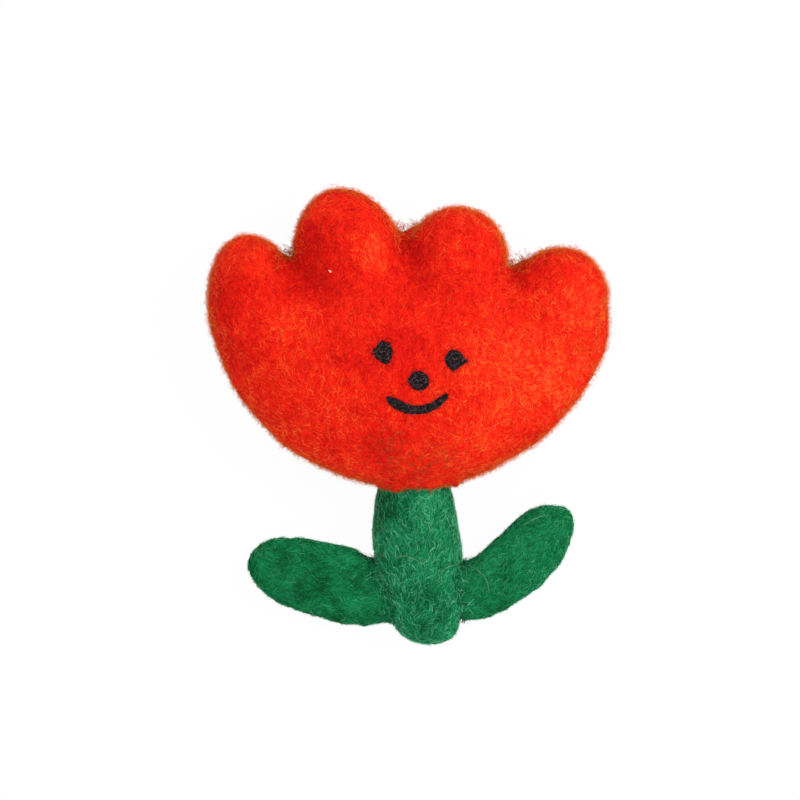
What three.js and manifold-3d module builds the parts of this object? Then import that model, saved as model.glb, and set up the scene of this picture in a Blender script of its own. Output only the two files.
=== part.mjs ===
// Needle-felted wool flower: a puffy red bloom with a small face, a thick green stem and two leaves.
// Millimetres. It lies on its back: X to the right, Y towards the petal tips, Z out of the face.
// Places in the plane are measured from the middle of the cup's widest line, until the end.

import * as THREE from 'three';
import { mergeVertices } from 'three/addons/utils/BufferGeometryUtils.js';
import Module from 'manifold-3d';

// Fits
const seam = 0.3; // felt pressed against felt
const restFlat = 0.5; // depth of the flat that the back lies on

// Cup of the bloom
const cupWidth = 72.7;
const cupDrop = 34.2; // widest line down to the lower edge
const cupRise = 4.6; // widest line up to the crown that the petals sit on
const cupThickness = 25;
const cupBellyDrop = 9; // the thickest level, below the widest line
const cupFullness = 2.25;
const cupOutline = 1.94; // the same for its outline, a little less than a true ellipse

// Core inside the cup
const cupWall = 6.5;
const coreFullness = 2.1;

// Petals: the shoulder of each lobe, its half width, and the tip's reach and direction from the shoulder.
// A shoulder stands out to the side by a share of the cup's half width.
const petalHub = { x: 0.4, y: -18 }; // where the four petals run together
const petalThickness = 22;
const petalFullness = 2.2;
const petalSizes = {
  petal_mid_left: { out: -0.287, y: 5.8, halfWidth: 10.7, reach: 14.8, heading: 105.6 },
  petal_mid_right: { out: 0.237, y: 6.2, halfWidth: 9.8, reach: 11, heading: 89.8 },
  petal_far_left: { out: -0.767, y: -1.3, halfWidth: 8.4, reach: 13.6, heading: 98.3 },
  petal_far_right: { out: 0.741, y: 0.5, halfWidth: 9.2, reach: 9.3, heading: 90 },
};

// Stem, from its root inside the cup to its blunt lower end
const stemNeckWidth = 13.4; // where it leaves the cup
const stemWidth = 16.1; // at its belly
const stemHeelWidth = 14.1; // where it starts to round off
const stemFlatness = 0.92; // thickness as a share of the width
const stemLength = 28.2; // what shows below the cup
const stemRoot = 8.5; // what is inside the cup
const stemBellyDrop = 9.7; // the belly, below the neck
const stemSway = 3.4; // how far the lower end stands to the right of the neck
const stemOffset = 0.9; // the neck, to the right of the cup's middle
const stemNeckHeight = 7.9; // the neck's axis over the back
const stemRootHeight = 11; // the same at the root's tip
const stemBellySway = 0.5; // the belly, to the right of the neck
const stemHeelSway = 1.4; // the heel, still to the left of the lower end
const stemEndRound = 7.8;
const stemRootRound = 7;
const stemFullness = 2.1;

// Leaves: each starts on the stem's axis, a little above its lower end
const leafLevel = 7.4; // the roots, above the stem's lower end
const leafThickness = 5.6;
const leafRootHeight = 6.2; // the root's axis over the back
const leafTipHeight = 4.4;
const leafTaper = 9; // length over which a leaf narrows to its root, half of it inside the stem's edge
const leafRootRound = 2;
const leafFullness = 2.3;
const leafSizes = {
  leaf_left: { side: -1, reach: 33, width: 13.8, rootWidth: 7.8, rise: 13.9, bow: 0.5, tipRound: 12.6 },
  leaf_right: { side: 1, reach: 31.2, width: 11.9, rootWidth: 9.8, rise: 33, bow: 3.2, tipRound: 12 },
};

// Face, in black wool let into the front of the cup
const faceMiddle = { x: 1.7, y: -10.3 }; // half way between the eyes
const eyeSpacing = 12.9;
const eyeDrop = 1.3; // how much lower the right eye stands
const eyeWidth = 3.6;
const eyeHeight = 4;
const noseDrop = 4.4; // below the middle of the eyes
const noseWidth = 3.8;
const noseHeight = 3.4;
const mouthDrop = 7.1; // ends of the mouth, below the middle of the eyes
const mouthOffset = -0.3; // its middle, from the middle of the eyes
const mouthWidth = 10.4;
const mouthSag = 2.4;
const mouthStroke = 1.7;
const mouthPoint = 3; // length over which its left end is drawn to a point
const tuftThickness = 1.7;
const tuftProud = 0.45; // how far the black wool stands out of the red
const tuftFullness = 2.4;

// Fineness of the meshes
const cupMesh = { rings: 20, sides: 34 };
const coreMesh = { rings: 10, sides: 16 };
const petalMesh = { rings: 18, sides: 22 };
const stemMesh = { rings: 18, sides: 22 };
const leafMesh = { rings: 16, sides: 16 };
const tuftMesh = { rings: 8, sides: 12 };

const redWool = { color: 0xec2a17, roughness: 0.95, metalness: 0 };
const greenWool = { color: 0x1f774a, roughness: 0.95, metalness: 0 };
const blackWool = { color: 0x1c1a19, roughness: 0.9, metalness: 0 };
const undyedWool = { color: 0xe9e1d2, roughness: 0.95, metalness: 0 };

const cupAxisHeight = cupThickness / 2 - restFlat;

const wasm = await Module();
wasm.setup();

// A closed body from a closed geometry, for cutting.
function solidOf(geometry) {
  const bare = geometry.clone();
  bare.deleteAttribute('normal');
  bare.deleteAttribute('uv');
  const merged = mergeVertices(bare);
  const vertProperties = new Float32Array(merged.attributes.position.array);
  const triVerts = new Uint32Array(merged.index.array);
  return new wasm.Manifold(new wasm.Mesh({ numProp: 3, vertProperties, triVerts }));
}

function geometryOf(solid) {
  const { vertProperties, triVerts } = solid.getMesh();
  const geometry = new THREE.BufferGeometry();
  geometry.setAttribute('position', new THREE.BufferAttribute(vertProperties, 3));
  geometry.setIndex(new THREE.BufferAttribute(triVerts, 1));
  geometry.computeVertexNormals();
  return geometry;
}

// Rises from 0 at an end to 1 at the full length of a round end, as a quarter ellipse does.
function roundEnd(distance, length) {
  const left = Math.max(0, 1 - distance / length);
  return Math.sqrt(Math.max(0, 1 - left * left));
}

// A cosine with its corners pushed out: fullness 2 gives an ellipse, more gives a fuller section.
function fullCosine(angle, fullness) {
  const value = Math.cos(angle);
  return Math.sign(value) * Math.abs(value) ** (2 / fullness);
}

// Felted wool: full oval sections along a spine, closed at both ends. Sections lie across the spine,
// and halfWidth and halfThickness take the distance from its start and from its end.
// A body grown by a seam is the cutter for whatever lies against it.
function feltedGeometry({ spine, halfWidth, halfThickness, fullness, mesh }, grow = 0) {
  const length = spine.getLength();
  const front = new THREE.Vector3(0, 0, 1);
  const points = [spine.getPointAt(0).addScaledVector(spine.getTangentAt(0), -grow)];
  for (let ring = 1; ring < mesh.rings; ring += 1) {
    const share = (1 - Math.cos((Math.PI * ring) / mesh.rings)) / 2;
    const middle = spine.getPointAt(share);
    const along = spine.getTangentAt(share);
    const across = along.clone().cross(front).normalize();
    const outward = across.clone().cross(along);
    const width = halfWidth(share * length, (1 - share) * length) + grow;
    const thickness = halfThickness(share * length, (1 - share) * length) + grow;
    for (let side = 0; side < mesh.sides; side += 1) {
      const angle = (2 * Math.PI * side) / mesh.sides;
      const point = middle.clone();
      point.addScaledVector(across, width * fullCosine(angle, fullness));
      point.addScaledVector(outward, thickness * fullCosine(angle - Math.PI / 2, fullness));
      points.push(point);
    }
  }
  points.push(spine.getPointAt(1).addScaledVector(spine.getTangentAt(1), grow));

  const last = points.length - 1;
  const at = (ring, side) => 1 + (ring - 1) * mesh.sides + (side % mesh.sides);
  const index = [];
  for (let side = 0; side < mesh.sides; side += 1) {
    index.push(0, at(1, side), at(1, side + 1));
    for (let ring = 1; ring < mesh.rings - 1; ring += 1) {
      index.push(at(ring, side), at(ring + 1, side), at(ring + 1, side + 1));
      index.push(at(ring, side), at(ring + 1, side + 1), at(ring, side + 1));
    }
    index.push(last, at(mesh.rings - 1, side + 1), at(mesh.rings - 1, side));
  }
  const geometry = new THREE.BufferGeometry().setFromPoints(points);
  geometry.setIndex(index);
  return geometry;
}

function felted(form, grow = 0) {
  return solidOf(feltedGeometry(form, grow));
}

function smoothCurve(...points) {
  return new THREE.CatmullRomCurve3(points.map(([x, y, z]) => new THREE.Vector3(x, y, z)));
}

// Everything below the table is cut away, which leaves the flats that the flower lies on.
function flatBack(solid) {
  const reach = 2 * (cupWidth + cupDrop + stemLength);
  const depth = cupThickness;
  const below = new THREE.BoxGeometry(reach, reach, depth).translate(0, 0, -depth / 2);
  return solid.subtract(solidOf(below));
}

// Half width and half thickness of the cup at a level, from its outline and its profile.
function cupHalfWidth(level) {
  const span = level < 0 ? cupDrop : cupRise;
  const share = Math.min(1, Math.abs(level) / span);
  return (cupWidth / 2) * (1 - share ** cupOutline) ** (1 / cupOutline);
}

function cupHalfThickness(level) {
  const fromBelly = level + cupBellyDrop;
  const span = fromBelly < 0 ? cupDrop - cupBellyDrop : cupRise + cupBellyDrop;
  const share = Math.min(1, Math.abs(fromBelly) / span);
  return (cupThickness / 2) * (1 - share ** cupFullness) ** (1 / cupFullness);
}

// Height of the cup's front over the back, at a place on the face.
function cupFront(x, y) {
  const share = Math.abs(x) / cupHalfWidth(y);
  return cupAxisHeight + cupHalfThickness(y) * (1 - share ** cupFullness) ** (1 / cupFullness);
}

const cupForm = {
  spine: smoothCurve([0, -cupDrop, cupAxisHeight], [0, cupRise, cupAxisHeight]),
  halfWidth: (fromStart) => cupHalfWidth(fromStart - cupDrop),
  halfThickness: (fromStart) => cupHalfThickness(fromStart - cupDrop),
  fullness: cupFullness,
  mesh: cupMesh,
};

function coreForm() {
  const low = cupWall - cupDrop;
  const high = cupRise - cupWall;
  const oval = (fromStart, fromEnd) => roundEnd(Math.min(fromStart, fromEnd), (high - low) / 2);
  return {
    spine: smoothCurve([0, low, cupAxisHeight], [0, high, cupAxisHeight]),
    halfWidth: (fromStart, fromEnd) => (cupWidth / 2 - 2 * cupWall) * oval(fromStart, fromEnd),
    halfThickness: (fromStart, fromEnd) => (cupThickness / 2 - cupWall) * oval(fromStart, fromEnd),
    fullness: coreFullness,
    mesh: coreMesh,
  };
}

// A petal runs from the hub in the cup, turns towards its heading before the shoulder and ends round.
function petalForm({ out, y, halfWidth, reach, heading }) {
  const angle = THREE.MathUtils.degToRad(heading);
  const x = (out * cupWidth) / 2;
  const ahead = (step) => [x + step * Math.cos(angle), y + step * Math.sin(angle), cupAxisHeight];
  const hub = [petalHub.x, petalHub.y, cupAxisHeight];
  const spine = smoothCurve(hub, ahead(-halfWidth / 2), ahead(0), ahead(reach));
  const inner = spine.getLength() - reach;
  const swell = (fromStart) => Math.sin((Math.PI / 2) * Math.min(1, fromStart / inner));
  const round = (fromStart, fromEnd) => swell(fromStart) * roundEnd(fromEnd, reach);
  return {
    spine,
    halfWidth: (fromStart, fromEnd) => halfWidth * round(fromStart, fromEnd),
    halfThickness: (fromStart, fromEnd) => (petalThickness / 2) * round(fromStart, fromEnd),
    fullness: petalFullness,
    mesh: petalMesh,
  };
}

// The stem sways to the right between its belly and its lower end, and it lies on the belly and the heel.
function stemSpine() {
  const neck = [stemOffset, -cupDrop, stemNeckHeight];
  const root = [stemOffset, -cupDrop + stemRoot, stemRootHeight];
  const onBack = (width) => (width * stemFlatness) / 2 - restFlat;
  const belly = [stemOffset + stemBellySway, -cupDrop - stemBellyDrop, onBack(stemWidth)];
  const end = [stemOffset + stemSway, -cupDrop - stemLength, onBack(stemHeelWidth)];
  const heel = [end[0] - stemHeelSway, end[1] + stemEndRound, end[2]];
  return smoothCurve(root, neck, belly, heel, end);
}

function stemHalfWidth(fromStart, fromEnd) {
  const belly = stemRoot + stemBellyDrop;
  const swell = THREE.MathUtils.smoothstep(fromStart, stemRoot, belly);
  const shrink = THREE.MathUtils.smoothstep(fromStart, belly, stemRoot + stemLength - stemEndRound);
  const width = stemNeckWidth + (stemWidth - stemNeckWidth) * swell - (stemWidth - stemHeelWidth) * shrink;
  return (width / 2) * roundEnd(fromEnd, stemEndRound) * roundEnd(fromStart, stemRootRound);
}

const stemForm = {
  spine: stemSpine(),
  halfWidth: stemHalfWidth,
  halfThickness: (fromStart, fromEnd) => stemFlatness * stemHalfWidth(fromStart, fromEnd),
  fullness: stemFullness,
  mesh: stemMesh,
};

// A leaf leaves the stem's axis, bows downwards a little and ends in a blunt round tip.
function leafForm({ side, reach, width, rootWidth, rise, bow, tipRound }) {
  const angle = THREE.MathUtils.degToRad(rise);
  const start = stemForm.spine.getPointAt(1 - leafLevel / stemForm.spine.getLength());
  const tip = [start.x + side * reach * Math.cos(angle), start.y + reach * Math.sin(angle), leafTipHeight];
  const middle = [
    (start.x + tip[0]) / 2 + side * bow * Math.sin(angle),
    (start.y + tip[1]) / 2 - bow * Math.cos(angle),
    (leafRootHeight + leafTipHeight) / 2,
  ];
  const narrow = stemWidth / 2 - leafTaper / 2;
  return {
    spine: smoothCurve([start.x, start.y, leafRootHeight], middle, tip),
    halfWidth: (fromStart, fromEnd) => {
      const open = THREE.MathUtils.smoothstep(fromStart, narrow, narrow + leafTaper);
      const wide = (rootWidth + (width - rootWidth) * open) / 2;
      return wide * roundEnd(fromEnd, tipRound) * roundEnd(fromStart, leafRootRound);
    },
    halfThickness: (fromStart, fromEnd) => {
      return (leafThickness / 2) * roundEnd(fromEnd, leafThickness) * roundEnd(fromStart, leafRootRound);
    },
    fullness: leafFullness,
    mesh: leafMesh,
  };
}

// Black wool let into the face: it follows the cup's front, half sunk in it.
function tuftForm(path, stroke, startRound, endRound) {
  const sink = tuftThickness / 2 - tuftProud;
  const places = path.getSpacedPoints(tuftMesh.rings).map(({ x, y }) => [x, y, cupFront(x, y) - sink]);
  const round = (fromStart, fromEnd) => roundEnd(fromStart, startRound) * roundEnd(fromEnd, endRound);
  return {
    spine: smoothCurve(...places),
    halfWidth: (fromStart, fromEnd) => (stroke / 2) * round(fromStart, fromEnd),
    halfThickness: (fromStart, fromEnd) => (tuftThickness / 2) * round(fromStart, fromEnd),
    fullness: tuftFullness,
    mesh: tuftMesh,
  };
}

function dotForm(x, y, width, height) {
  const low = new THREE.Vector2(x, y - height / 2);
  const high = new THREE.Vector2(x, y + height / 2);
  return tuftForm(new THREE.LineCurve(low, high), width, height / 2, height / 2);
}

function mouthForm() {
  const level = faceMiddle.y - mouthDrop;
  const middle = faceMiddle.x + mouthOffset;
  const left = new THREE.Vector2(middle - mouthWidth / 2, level);
  const right = new THREE.Vector2(middle + mouthWidth / 2, level);
  const low = new THREE.Vector2(middle, level - 2 * mouthSag);
  const smile = new THREE.QuadraticBezierCurve(left, low, right);
  return tuftForm(smile, mouthStroke, mouthPoint, mouthStroke / 2);
}

const faceForms = {
  eye_left: dotForm(faceMiddle.x - eyeSpacing / 2, faceMiddle.y + eyeDrop / 2, eyeWidth, eyeHeight),
  eye_right: dotForm(faceMiddle.x + eyeSpacing / 2, faceMiddle.y - eyeDrop / 2, eyeWidth, eyeHeight),
  nose: dotForm(faceMiddle.x, faceMiddle.y - noseDrop, noseWidth, noseHeight),
  mouth: mouthForm(),
};

const flower = new THREE.Group();

function add(name, solid, wool) {
  const piece = new THREE.Mesh(geometryOf(solid), new THREE.MeshStandardMaterial(wool));
  piece.name = name;
  flower.add(piece);
}

// The core fills the cup, and the stem's root comes up to it through the cup's underside.
const core = coreForm();
add('bloom_core', felted(core), undyedWool);
add('stem', flatBack(felted(stemForm).subtract(felted(core, seam))), greenWool);

let cup = felted(cupForm).subtract(felted(core, seam)).subtract(felted(stemForm, seam));
for (const form of Object.values(faceForms)) {
  cup = cup.subtract(felted(form, seam));
}
add('bloom_cup', flatBack(cup), redWool);

// Each petal sits on the cup, and gives way to the petals that were needled on before it.
let seated = felted(cupForm, seam);
for (const [name, size] of Object.entries(petalSizes)) {
  const form = petalForm(size);
  add(name, felted(form).subtract(seated), redWool);
  seated = seated.add(felted(form, seam));
}

for (const [name, size] of Object.entries(leafSizes)) {
  add(name, flatBack(felted(leafForm(size)).subtract(felted(stemForm, seam))), greenWool);
}

for (const [name, form] of Object.entries(faceForms)) {
  add(name, felted(form), blackWool);
}

// The origin is the middle of the flower's footprint.
const footprint = new THREE.Box3().setFromObject(flower).getCenter(new THREE.Vector3());
flower.position.set(-footprint.x, -footprint.y, 0);

export default flower;
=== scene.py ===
import math

import bmesh
import bpy
import numpy as np
from mathutils import Matrix, Vector, bvhtree, noise


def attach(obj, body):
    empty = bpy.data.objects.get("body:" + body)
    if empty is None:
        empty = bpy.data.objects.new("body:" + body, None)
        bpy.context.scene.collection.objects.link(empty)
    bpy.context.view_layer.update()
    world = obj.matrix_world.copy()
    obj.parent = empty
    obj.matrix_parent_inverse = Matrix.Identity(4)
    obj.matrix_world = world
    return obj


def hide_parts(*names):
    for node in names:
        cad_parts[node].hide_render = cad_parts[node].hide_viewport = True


# Needle-felted wool flower, lying on its back with its face up. Metres, X right, Y to the petal tips.
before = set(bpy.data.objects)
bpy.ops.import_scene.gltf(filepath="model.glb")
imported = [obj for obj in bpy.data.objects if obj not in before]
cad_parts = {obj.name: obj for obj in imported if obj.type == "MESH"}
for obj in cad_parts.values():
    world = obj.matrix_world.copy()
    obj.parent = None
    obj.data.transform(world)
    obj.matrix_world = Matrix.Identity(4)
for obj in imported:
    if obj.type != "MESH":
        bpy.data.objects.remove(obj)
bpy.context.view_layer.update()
mm = 0.001

# Small helpers for meshes

def meshOfNodes(name, nodes, swell=0.0, wads=()):
    joined = bmesh.new()
    for x, y, z, radius in wads:
        place = Matrix.Translation((x, y, z))
        bmesh.ops.create_icosphere(joined, subdivisions=2, radius=radius, matrix=place)
    for node in nodes:
        solid = bmesh.new()
        solid.from_mesh(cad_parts[node].data)
        bmesh.ops.remove_doubles(solid, verts=solid.verts, dist=0.002 * mm)
        solid.normal_update()
        for vertex in solid.verts:
            vertex.co += vertex.normal * swell
        part = bpy.data.meshes.new("part")
        solid.to_mesh(part)
        solid.free()
        joined.from_mesh(part)
        bpy.data.meshes.remove(part)
    mesh = bpy.data.meshes.new(name)
    joined.to_mesh(mesh)
    joined.free()
    return mesh


def addObject(name, mesh):
    thing = bpy.data.objects.new(name, mesh)
    bpy.context.scene.collection.objects.link(thing)
    return thing


def readPoints(mesh):
    co = np.empty(len(mesh.vertices) * 3, np.float32)
    mesh.vertices.foreach_get("co", co)
    return co.reshape(-1, 3).astype(float)


def writePoints(mesh, points):
    mesh.vertices.foreach_set("co", points.astype(np.float32).ravel())
    mesh.update()


def readNormals(mesh):
    normals = np.empty(len(mesh.vertices) * 3, np.float32)
    mesh.vertex_normals.foreach_get("vector", normals)
    return normals.reshape(-1, 3).astype(float)


def applied(thing):
    graph = bpy.context.evaluated_depsgraph_get()
    mesh = bpy.data.meshes.new_from_object(thing.evaluated_get(graph), depsgraph=graph)
    old = thing.data
    thing.modifiers.clear()
    thing.data = mesh
    mesh.name = thing.name
    bpy.data.meshes.remove(old)
    return mesh


def lumps(points, size, seed):
    shift = Vector((seed * 3.1, seed * 1.7, seed * 2.3))
    return np.array([noise.noise(Vector(p) / size + shift) for p in points])


def treeOf(thing):
    solid = bmesh.new()
    solid.from_mesh(thing.data)
    tree = bvhtree.BVHTree.FromBMesh(solid)
    solid.free()
    return tree


# A soft valley pressed into the upper side, deepest at its start

def creaseDepth(points, start, end, depth, width):
    fade, fadeStart = 10 * mm, 0.6
    line = end - start
    along = np.clip((points[:, :2] - start) @ line / (line @ line), 0, 1)
    away = np.hypot(*(points[:, :2] - start - along[:, None] * line).T)
    return depth * (1 - along) * np.exp(-(away / width) ** 2) * np.clip(points[:, 2] / fade - fadeStart, 0, 1)


# The front rubbed even: heights are shared with their neighbours, and the outline stays

def easedFront(mesh, points, normals, rounds):
    pairs = np.empty(len(mesh.edges) * 2, np.int32)
    mesh.edges.foreach_get("vertices", pairs)
    a, b = pairs[::2], pairs[1::2]
    count = np.bincount(pairs, minlength=len(points))
    steepest, gentle = 0.2, 0.6
    share = 0.5 * np.clip((normals[:, 2] - steepest) / gentle, 0, 1)
    height = points[:, 2].copy()
    for _ in range(rounds):
        total = np.bincount(a, height[b], len(height)) + np.bincount(b, height[a], len(height))
        height += share * (total / count - height)
    return height


# Points that would lie inside the neighbour are brought to its surface

skinGapMm = 0.05


def clearOf(points, neighbour):
    tree = treeOf(neighbour)
    for i, point in enumerate(points):
        spot, normal = tree.find_nearest(Vector(point), 3 * mm)[:2]
        if spot is not None and (Vector(point) - spot).dot(normal) < skinGapMm * mm:
            points[i] = spot + normal * skinGapMm * mm


# A pull with the fingers: what lies near a place is moved sideways with it. Places and moves in mm.

def pulled(points, pulls):
    moved = points.copy()
    for x, y, reach, moveX, moveY in pulls:
        weight = np.exp(-(np.hypot(points[:, 0] / mm - x, points[:, 1] / mm - y) / reach) ** 2)
        moved[:, 0] += weight * moveX * mm
        moved[:, 1] += weight * moveY * mm
    return moved


# Felt: the solids of a piece run together into one skin, rounded in the creases and uneven by hand

tableGap = 0.03 * mm


def feltSkin(name, nodes, make, wads=(), against=None):
    thing = addObject(name, meshOfNodes(name, nodes, make["swell"], wads))
    remesh = thing.modifiers.new("felt", "REMESH")
    remesh.mode = "VOXEL"
    remesh.voxel_size = make["grain"]
    relax = thing.modifiers.new("rub", "SMOOTH")
    relax.factor = 0.5
    relax.iterations = make["rub"]
    mesh = applied(thing)
    points = readPoints(mesh)
    normals = readNormals(mesh)
    points[:, 2] = easedFront(mesh, points, normals, make.get("ease", 0))
    drop = -make["swell"] + make["keep"]
    wave = make["lump"] * lumps(points, make["lumpSize"], 1)
    wave = wave + make["dent"] * lumps(points, make["dentSize"], 2)
    points += normals * (drop + wave)[:, None]
    for start, end, depth, width in make.get("creases", ()):
        points[:, 2] -= creaseDepth(points, np.array(start) * mm, np.array(end) * mm, depth, width)
    points = pulled(points, make.get("pulls", ()))
    if against:
        clearOf(points, against)
    points[:, 2] = np.maximum(points[:, 2], tableGap)
    writePoints(mesh, points)
    mesh.shade_smooth()
    print("felt", name, len(mesh.polygons), "faces")
    return thing


bloomMake = {
    "swell": 0.45 * mm, "keep": -0.64 * mm, "grain": 0.55 * mm, "rub": 6, "ease": 200,
    "lump": 0.4 * mm, "lumpSize": 9 * mm, "dent": 0.14 * mm, "dentSize": 2.6 * mm,
    "creases": [((-20.5, 28), (-13.5, 18), 2.6 * mm, 4.4 * mm), ((-1.4, 31.5), (-0.4, 25), 1.7 * mm, 2 * mm),
                ((18.2, 26), (16.5, 20), 1.2 * mm, 2.6 * mm)],
    "pulls": [(35.3, 12.5, 4.5, 0.7, -0.35), (36, 21, 6, 0.25, 0), (32.6, 4.9, 5, 0.25, -0.15),
              (9.2, 38.2, 6, 0, 0.2), (-13.3, -10.6, 6, 0.05, 0.15), (-6, 39.5, 4, -0.1, -0.12),
              (-35.5, 18, 6, -0.15, 0), (33.8, 8.5, 3, 0.25, -0.1), (18.5, 27.9, 1.1, -0.5, -0.8),
              (20.2, 27.9, 1.3, 0, 0.35), (-21.4, 29.7, 1.1, 0.4, -0.75), (-23.6, 30.7, 1.6, 0.1, 0.6),
              (0.4, 33.8, 1.1, -0.1, 0.55), (-1.4, 33.2, 0.9, 0, -0.15)],
}
bloomNodes = ["bloom_cup", "petal_far_left", "petal_mid_left", "petal_mid_right", "petal_far_right"]
faceNodes = ["eye_left", "eye_right", "nose", "mouth"]
lip = [(x, -11.7 + 0.012 * (x - 2) ** 2, 15, 2.3 - 0.03 * (x - 2) ** 2) for x in range(-3, 8, 2)]
lipSags = [(-4.6, -11.8, 15, 2.1), (-2.6, -12.2, 15, 2.3), (4.2, -11.9, 15, 2.2), (8.3, -11.4, 13.5, 2.2)]
notchFills = [(-0.6, 32.2, 12, 2.2), (1.6, 33.3, 12, 1.8), (20.4, 27, 12, 2)]
bloomWads = [tuple(value * mm for value in wad) for wad in lip + lipSags + notchFills]
bloom = feltSkin("bloom_felt", bloomNodes + faceNodes, bloomMake, bloomWads)

stemMake = {
    "swell": 0.3 * mm, "keep": -0.3 * mm, "grain": 0.4 * mm, "rub": 8,
    "lump": 0.4 * mm, "lumpSize": 6 * mm, "dent": 0.14 * mm, "dentSize": 2.2 * mm,
    "pulls": [(8.3, -14.8, 3, 0.4, 0), (9.8, -25, 2.5, 0.5, 0), (-6.6, -20.3, 5, -0.25, 0),
              (7.6, -39.4, 2.6, 0.4, -0.5), (1, -40.4, 3, 0, -0.2), (-6.6, -24.8, 2.4, 0.35, 0)],
}
heelWads = [(6.7 * mm, -37.1 * mm, 6.5 * mm, 3 * mm), (7.2 * mm, -34.6 * mm, 6.8 * mm, 2.9 * mm)]
stem = feltSkin("stem_felt", ["stem"], stemMake, heelWads)

# Each leaf has wads of wool at its root that climb the side of the stem

wadSink = 0.5 * mm
wadLift = 1.3 * mm


def rootWads(side, heights, radius):
    points = readPoints(stem.data)
    wads = []
    for y in heights:
        band = points[np.abs(points[:, 1] - y * mm) < 0.5 * mm]
        edge = band[np.argmax(side * band[:, 0])]
        wads.append((edge[0] - side * wadSink, y * mm, edge[2] + wadLift, radius))
    return wads


leafMake = {
    "swell": 0.3 * mm, "keep": -0.1 * mm, "grain": 0.35 * mm, "rub": 6,
    "lump": 0.35 * mm, "lumpSize": 5 * mm, "dent": 0.2 * mm, "dentSize": 2.4 * mm,
}
leftWads = rootWads(-1, (-27.6, -29.2, -31, -32.8, -34.6, -36), 1.8 * mm)
leftPulls = [(-7.4, -24.4, 2, 0, -0.6), (-9.8, -23.9, 2, 0, 0.35), (-17.5, -36.2, 6, 0.1, 0.45),
             (-26.1, -22.3, 3.5, -0.35, 0.4), (-12.5, -23.2, 3, 0, 0.3)]
leafLeft = feltSkin("leaf_left_felt", ["leaf_left"], {**leafMake, "pulls": leftPulls}, leftWads, stem)
rightWads = rootWads(1, (-28.6, -30.2, -31.8, -33.4, -34.8), 1.7 * mm)
rightPulls = [(11, -25.6, 1.8, 0.2, -0.5), (12, -24.3, 3, 0.2, -0.35), (22.5, -17.2, 3, -0.3, 0.45),
              (17.4, -20.5, 3, -0.2, 0.25), (28.8, -24.7, 4, -0.3, 0.15), (25.2, -29.2, 4, 0, 0.1),
              (13, -36.5, 3, 0.1, -0.5)]
leafRight = feltSkin("leaf_right_felt", ["leaf_right"], {**leafMake, "pulls": rightPulls}, rightWads, stem)

coreMake = {
    "swell": 0.0, "keep": 0.0, "grain": 0.8 * mm, "rub": 3,
    "lump": 0.1 * mm, "lumpSize": 5 * mm, "dent": 0.0, "dentSize": 3 * mm,
}
core = feltSkin("core_wad", ["bloom_core"], coreMake)


# Black wool of the face, laid on the skin of the bloom. Rims and paths are in mm from the piece's middle.

def middleOf(node):
    points = readPoints(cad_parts[node].data)
    return (points.min(0) + points.max(0)) / 2


def frontOf(skin):
    tree = treeOf(skin)

    def height(x, y, missing=0.0):
        hit = tree.ray_cast(Vector((x, y, 0.1)), Vector((0, 0, -1)))[0]
        return hit.z if hit else missing
    return height


bloomFront = frontOf(bloom)


# A path in even steps, rubbed smooth, and the way across it

def evenLine(path, steps):
    spots = np.linspace(0, len(path) - 1, steps)
    return np.stack([np.interp(spots, range(len(path)), column) for column in path.T], 1)


def smoothed(line, rounds):
    for _ in range(rounds):
        line[1:-1] = (line[:-2] + 2 * line[1:-1] + line[2:]) / 4
    return line


def acrossAt(line, i):
    ahead = line[min(i + 1, len(line) - 1)][:2] - line[max(i - 1, 0)][:2]
    return np.array([-ahead[1], ahead[0]]) / np.linalg.norm(ahead)


def closedCurve(rim, count):
    rim = np.array(rim, float)
    made = []
    for i in range(count):
        t = i * len(rim) / count
        k = int(t)
        f = t - k
        a, b, c, d = (rim[(k + j) % len(rim)] for j in (-1, 0, 1, 2))
        value = 2 * b + (c - a) * f + (2 * a - 5 * b + 4 * c - d) * f ** 2
        made.append(0.5 * (value + (3 * b - a - 3 * c + d) * f ** 3))
    return np.array(made)


def blackDot(name, node, look):
    centre = middleOf(node)[:2]
    rim = closedCurve(look["rim"], look["sides"]) * mm
    fullness, rimDip, footShare = 2.6, 0.06 * mm, 0.9
    verts, faces = [], []
    rings = look["rings"]
    for ring in range(1, rings + 1):
        share = math.sin(0.5 * math.pi * ring / rings)
        rise = look["rise"] * (1 - share ** fullness) ** (1 / fullness) - rimDip
        for point in rim:
            x, y = centre + point * share
            verts.append((x, y, bloomFront(x, y) + rise))
    for point in rim:
        x, y = centre + point * footShare
        verts.append((x, y, bloomFront(x, y) - look["sink"]))
    top = len(verts)
    verts.append((*centre, bloomFront(*centre) + look["rise"]))
    low = len(verts)
    verts.append((*centre, bloomFront(*centre) - look["sink"]))
    sides = look["sides"]
    for ring in range(rings):
        for k in range(sides):
            a, b = ring * sides + k, ring * sides + (k + 1) % sides
            faces.append((a, a + sides, b + sides, b))
    for k in range(sides):
        faces.append((top, k, (k + 1) % sides))
        faces.append((low, rings * sides + (k + 1) % sides, rings * sides + k))
    return closedObject(name, verts, faces)


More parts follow.
